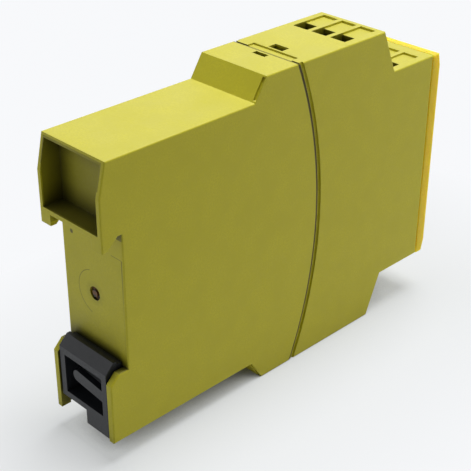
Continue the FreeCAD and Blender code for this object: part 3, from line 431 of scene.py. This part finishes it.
def recess_shade(nodes):
    """Grows to 1 deep in the hollow box and close round the rail clip."""
    across, depth, height = nodes.parts(nodes.place)
    sideways = nodes.math("ABSOLUTE", across)
    in_box = nodes.product(nodes.within(height, *BOX_HEIGHTS),
                           nodes.math("LESS_THAN", sideways, BOX_SIDE),
                           nodes.math("LESS_THAN", depth, BOX_MOUTH))
    light = nodes.product(nodes.openness(*BOX_OPENNESS),
                          nodes.inverse(nodes.product(in_box, BOX_SHADE)))
    above = nodes.product(nodes.inverse(light),
                          nodes.math("GREATER_THAN", height, BARE_HEIGHTS[1]))
    below = nodes.product(nodes.inverse(nodes.openness(*CLIP_OPENNESS)),
                          nodes.math("LESS_THAN", height, BARE_HEIGHTS[0]))
    return nodes.product(nodes.largest(above, below),
                         nodes.math("GREATER_THAN", depth, RECESS_DEPTH),
                         nodes.math("LESS_THAN", sideways, SIDE_FACE))


def seam_shade_mask(nodes):
    """1 on the line of painted shade that follows the curved seam down the sides, less across
    the top.
    """
    across, depth, height = nodes.parts(nodes.place)
    high = nodes.math("SUBTRACT", height, MIDDLE_HEIGHT)
    radius = nodes.hypotenuse(nodes.math("SUBTRACT", depth, SEAM_DEPTH), high)
    side = nodes.product(
        nodes.within(radius, *SEAM_LINE),
        nodes.math("GREATER_THAN", nodes.math("ABSOLUTE", across), SIDE_FACE - SEAM_CUT),
        nodes.math("LESS_THAN", nodes.math("ABSOLUTE", high), LATCH_RIM))
    top = nodes.product(nodes.within(radius, *SEAM_EDGE), SEAM_EDGE_SHARE)
    return nodes.product(nodes.largest(side, top), nodes.within(depth, *SEAM_REACH))


def housing_details(nodes, surface, colour):
    """Adds the mould's marks and the gate's stain to the housings' colour, with painted shade in
    the gate, along the seam and in deep places, and painted sheen on upward faces.
    """
    marks, gate = seat_marks(nodes)
    surface = nodes.mix(nodes.product(marks, MARK_SHARE), surface, shade(colour, MARK_TONE))
    shade_or_stain = nodes.patches(GATE_PATCH_GRAIN, between=(0.42, 0.58), detail=2.0)
    # painted shade in the gate's dish, in patches with its brown stain
    surface = nodes.mix(gate, surface, nodes.mix(shade_or_stain, *GATE_SHADE_AND_STAIN))
    # painted sheen: upward faces made paler
    top_sheen = nodes.product(upward_mask(nodes), nodes.patches(TOP_SHEEN_GRAIN, to=TOP_SHEEN_SHARE))
    surface = nodes.mix(top_sheen, surface, TOP_SHEEN_COLOUR)
    # painted shade along the seam between the housings
    surface = nodes.mix(seam_shade_mask(nodes), surface, SEAM_SHADE)
    # painted shade in the wire holes, the latch windows, the hollow box and round the rail clip
    deep_shade = nodes.largest(cell_shade(nodes), latch_shade(nodes), recess_shade(nodes))
    return nodes.mix(deep_shade, surface, shade(colour, DEEP_SHADE_TONE))


def moulded_plastic(name, colour, rough, grain, relief, specular, wear, housing=False, glow=0.0):
    """Moulded plastic with an eroded grain, faint flow mottling and paler worn edges."""
    nodes = material_nodes(name)
    mottle = nodes.patches(MOTTLE_GRAIN, between=(0.35, 0.65))
    body = nodes.mix(mottle, *(shade(colour, tone) for tone in MOTTLE_TONES))
    speckle = nodes.patches(grain * SPECKLE_SIZE, between=(0.40, 0.60), detail=2.0)
    grained = nodes.mix(speckle, shade(colour, SPECKLE_TONE), body)
    worn = nodes.product(edge_mask(nodes, WORN_RADIUS),
                         nodes.patches(WORN_GRAIN, (0.40, 0.70), (0.0, wear), detail=4.0))
    pale = tuple((1.0 - PALENESS) * channel + PALENESS * max(colour) for channel in colour)
    surface = nodes.mix(worn, grained, shade(pale, WORN_TONE))
    # the housing also gets its mould marks and stain, painted shade and painted sheen
    if housing:
        surface = housing_details(nodes, surface, colour)
    grain_normal = nodes.bump(nodes.noise(grain, detail=4.0, roughness=0.6), relief,
                              normal=nodes.soft_edge(PLASTIC_RADIUS))
    return nodes.finish(nodes.principled({
        "Base Color": surface,
        "Roughness": nodes.patches(grain * GLOSS_SIZE, to=spread(rough, PLASTIC_SPREAD)),
        "Specular IOR Level": specular,
        "Subsurface Weight": glow,
        "Subsurface Scale": GLOW_REACH,
        "Subsurface Radius": GLOW_TINT,
        "Normal": nodes.bump(nodes.noise(SAG_GRAIN, detail=1.0), SAG_HEIGHT,
                             normal=grain_normal),
    }))


def metal(name, colour, rough, brushing):
    """Plated metal with faint brushing and uneven tarnish."""
    nodes = material_nodes(name)
    tarnish = nodes.patches(TARNISH_GRAIN, between=(0.35, 0.70), detail=5.0)
    stretch = nodes.add("ShaderNodeMapping", {"Vector": nodes.place, "Scale": BRUSH_STRETCH})
    streaks = nodes.add("ShaderNodeTexNoise", {
        "Vector": stretch.outputs["Vector"], "Scale": 1.0 / BRUSH_GRAIN})
    return nodes.finish(nodes.principled({
        "Base Color": nodes.mix(tarnish, colour, shade(colour, TARNISH_TONE)),
        "Metallic": 1.0,
        "Roughness": nodes.patches(METAL_GRAIN, to=spread(rough, METAL_SPREAD)),
        "Normal": nodes.bump(streaks.outputs["Fac"], brushing,
                             normal=nodes.soft_edge(METAL_RADIUS)),
    }))


def board_laminate(name):
    """Green lacquered board with copper tracks under the lacquer."""
    nodes = material_nodes(name)
    tracks = nodes.add("ShaderNodeTexBrick", {
        "Vector": nodes.place, "Scale": 1.0 / TRACK_LENGTH, "Mortar Size": 0.03,
        "Color1": (0.020, 0.110, 0.045), "Color2": (0.024, 0.125, 0.050),
        "Mortar": (0.060, 0.230, 0.090)})
    return nodes.finish(nodes.principled({
        "Base Color": tracks.outputs["Color"],
        "Roughness": 0.28,
        "Normal": nodes.bump(nodes.noise(LACQUER_GRAIN), LACQUER_RELIEF),
    }))


def winding(name):
    """Taped copper winding: fine turns under a thin tape."""
    nodes = material_nodes(name)
    turns = nodes.add("ShaderNodeTexWave", {
        "Vector": nodes.place, "Scale": 1.0 / TURN_SPACING, "Distortion": 1.2},
        bands_direction="Z").outputs["Fac"]
    return nodes.finish(nodes.principled({
        "Base Color": nodes.mix(turns, (0.42, 0.21, 0.03), (0.66, 0.38, 0.08)),
        "Roughness": 0.35,
        "Normal": nodes.bump(turns, TURN_RELIEF),
    }))


def clear_plastic(name, colour):
    """Clear moulded plastic with faint haze."""
    nodes = material_nodes(name)
    return nodes.finish(nodes.principled({
        "Base Color": nodes.mix(nodes.patches(HAZE_GRAIN), colour, shade(colour, HAZE_TONE)),
        "Roughness": nodes.patches(POLISH_GRAIN, to=(0.08, 0.18)),
        "Transmission Weight": 0.6,
        "IOR": 1.49,
    }))


def dress_nodes():
    """Gives every CAD node the material of its slot."""
    finishes = {
        "housing_plastic": (moulded_plastic, dict(
            colour=(0.565, 0.518, 0.018), rough=0.50, grain=0.18 * MM, relief=0.02 * MM,
            specular=0.34, wear=0.50, housing=True)),
        "cover_plastic": (moulded_plastic, dict(
            colour=(0.95, 0.65, 0.022), rough=0.48, grain=0.22 * MM, relief=0.02 * MM,
            specular=0.30, wear=0.25, glow=0.9)),
        "clip_plastic": (moulded_plastic, dict(
            colour=(0.016, 0.018, 0.021), rough=0.42, grain=0.20 * MM, relief=0.02 * MM,
            specular=0.34, wear=0.30)),
        "board_laminate": (board_laminate, {}),
        "relay_case": (moulded_plastic, dict(
            colour=(0.74, 0.73, 0.68), rough=0.30, grain=0.3 * MM, relief=0.01 * MM,
            specular=0.50, wear=0.10)),
        "core_steel": (metal, dict(
            colour=(0.24, 0.24, 0.25), rough=0.45, brushing=0.03 * MM)),
        "coil_winding": (winding, {}),
        "capacitor_can": (metal, dict(
            colour=(0.55, 0.55, 0.57), rough=0.30, brushing=0.01 * MM)),
        "varistor_coat": (moulded_plastic, dict(
            colour=(0.03, 0.09, 0.35), rough=0.32, grain=0.5 * MM, relief=0.04 * MM,
            specular=0.50, wear=0.10)),
        "fuse_metal": (metal, dict(
            colour=(0.66, 0.66, 0.64), rough=0.20, brushing=0.01 * MM)),
        "chip_plastic": (moulded_plastic, dict(
            colour=(0.02, 0.02, 0.021), rough=0.55, grain=0.15 * MM, relief=0.01 * MM,
            specular=0.40, wear=0.10)),
        "lamp_plastic": (clear_plastic, dict(colour=(0.82, 0.86, 0.80))),
        "light_guide_plastic": (clear_plastic, dict(colour=(0.88, 0.90, 0.90))),
        "clamp_steel": (metal, dict(
            colour=(0.16, 0.16, 0.155), rough=0.38, brushing=0.02 * MM)),
        "contact_brass": (metal, dict(
            colour=(0.30, 0.25, 0.15), rough=0.34, brushing=0.02 * MM)),
    }
    materials = {name: make(name, **settings) for name, (make, settings) in finishes.items()}
    for part in frame["record"]["subparts"]:
        for slot in frame["nodes"][part["node"]].material_slots:
            slot.material = materials[part["material_slot"]]


def add_camera():
    """Camera of the photograph: its axes come from the fitted turn, rise and roll."""
    right = Vector((cos(CAMERA_TURN), sin(CAMERA_TURN), 0.0))
    back = Vector((sin(CAMERA_TURN) * cos(CAMERA_RISE), -cos(CAMERA_TURN) * cos(CAMERA_RISE),
                   sin(CAMERA_RISE)))
    up = back.cross(right)
    rolled_right = right * cos(CAMERA_ROLL) + up * sin(CAMERA_ROLL)
    rolled_up = up * cos(CAMERA_ROLL) - right * sin(CAMERA_ROLL)
    lens = bpy.data.cameras.new("camera")
    lens.sensor_width = SENSOR_WIDTH
    lens.lens = SENSOR_WIDTH * FOCAL_PIXELS / FRAME_PIXELS
    lens.clip_start = CAMERA_NEAR
    camera = bpy.data.objects.new("camera", lens)
    turn = Matrix((rolled_right, rolled_up, back)).transposed().to_4x4()
    camera.matrix_world = Matrix.Translation(CAMERA_PLACE) @ turn
    bpy.context.collection.objects.link(camera)
    bpy.context.scene.camera = camera


def floor_material():
    """Pale matt floor; what the camera sees of it glows whiter away from the footprint, and its
    glow dims as painted shadow where the body stands close over it.
    """
    nodes = material_nodes("floor")
    seen = seen_mask(nodes)
    cloud = nodes.product(nodes.patches(CLOUD_GRAIN, detail=2.0), CLOUD_SHARE)
    tone = nodes.mix(cloud, nodes.mix(seen, FLOOR_COLOUR, FLOOR_SEEN), FLOOR_COLOUR)
    matt = nodes.principled({
        "Base Color": tone, "Roughness": FLOOR_ROUGHNESS, "Specular IOR Level": FLOOR_SPECULAR})
    beyond = nodes.vector_math("ABSOLUTE", nodes.place)["Vector"]
    beyond = nodes.vector_math("SUBTRACT", beyond, FOOTPRINT)["Vector"]
    beyond = nodes.vector_math("MAXIMUM", beyond, (0.0, 0.0, 0.0))["Vector"]
    distance = nodes.vector_math("LENGTH", beyond)["Value"]
    far = nodes.math("POWER", nodes.remap(distance, (0.0, FADE_END)), FADE_CURVE)
    # painted shadow: the glow's strength falls where the body closes over the floor
    glow = nodes.add("ShaderNodeEmission", {
        "Color": nodes.mix(far, FLOOR_NEAR, FLOOR_FAR),
        "Strength": nodes.remap(nodes.openness(SHADE_REACH, 1.0), SHADE_RANGE)})
    share = nodes.product(nodes.remap(far, (0.0, 1.0), (FADE_LOW, 1.0)), seen)
    return nodes.finish(nodes.mix_shaders(share, matt, glow.outputs["Emission"]))


def add_floor():
    """Square floor under the object."""
    half = FLOOR_SIZE / 2
    corners = [(-half, -half, 0), (half, -half, 0), (half, half, 0), (-half, half, 0)]
    mesh = bpy.data.meshes.new("floor")
    mesh.from_pydata(corners, [], [(0, 1, 2, 3)])
    mesh.materials.append(floor_material())
    floor = bpy.data.objects.new("floor", mesh)
    bpy.context.collection.objects.link(floor)


def add_area(name, place, size, power, colour=WHITE):
    """Square area light that faces the object."""
    lamp = bpy.data.lights.new(name, "AREA")
    lamp.shape = "SQUARE"
    lamp.size = size
    lamp.energy = power
    lamp.color = colour
    light = bpy.data.objects.new(name, lamp)
    light.location = place
    light.rotation_euler = (LIGHT_TARGET - place).to_track_quat("-Z", "Y").to_euler()
    bpy.context.collection.objects.link(light)


def add_room():
    """Even dim room, seen as a white horizon under a grey ceiling."""
    world = bpy.data.worlds.new("room")
    bpy.context.scene.world = world
    nodes = Nodes(world, "ShaderNodeOutputWorld")
    rise = nodes.remap(nodes.parts(nodes.coordinates["Generated"])[2], BACKDROP_RISE)
    room = nodes.add("ShaderNodeBackground", {"Color": WHITE, "Strength": ROOM_LEVEL})
    backdrop = nodes.add("ShaderNodeBackground", {
        "Color": nodes.mix(rise, BACKDROP_LOW, BACKDROP_HIGH), "Strength": 1.0})
    nodes.finish(nodes.mix_shaders(seen_mask(nodes), room.outputs["Background"],
                                   backdrop.outputs["Background"]))


add_camera()
add_floor()
add_area("softbox", SOFTBOX_PLACE, SOFTBOX_SIZE, SOFTBOX_POWER)
add_area("fill", FILL_PLACE, FILL_SIZE, FILL_POWER, FILL_COLOUR)
add_area("rear_fill", REAR_PLACE, REAR_SIZE, REAR_POWER)
add_room()
dress_nodes()
bpy.context.scene.view_settings.view_transform = "Standard"
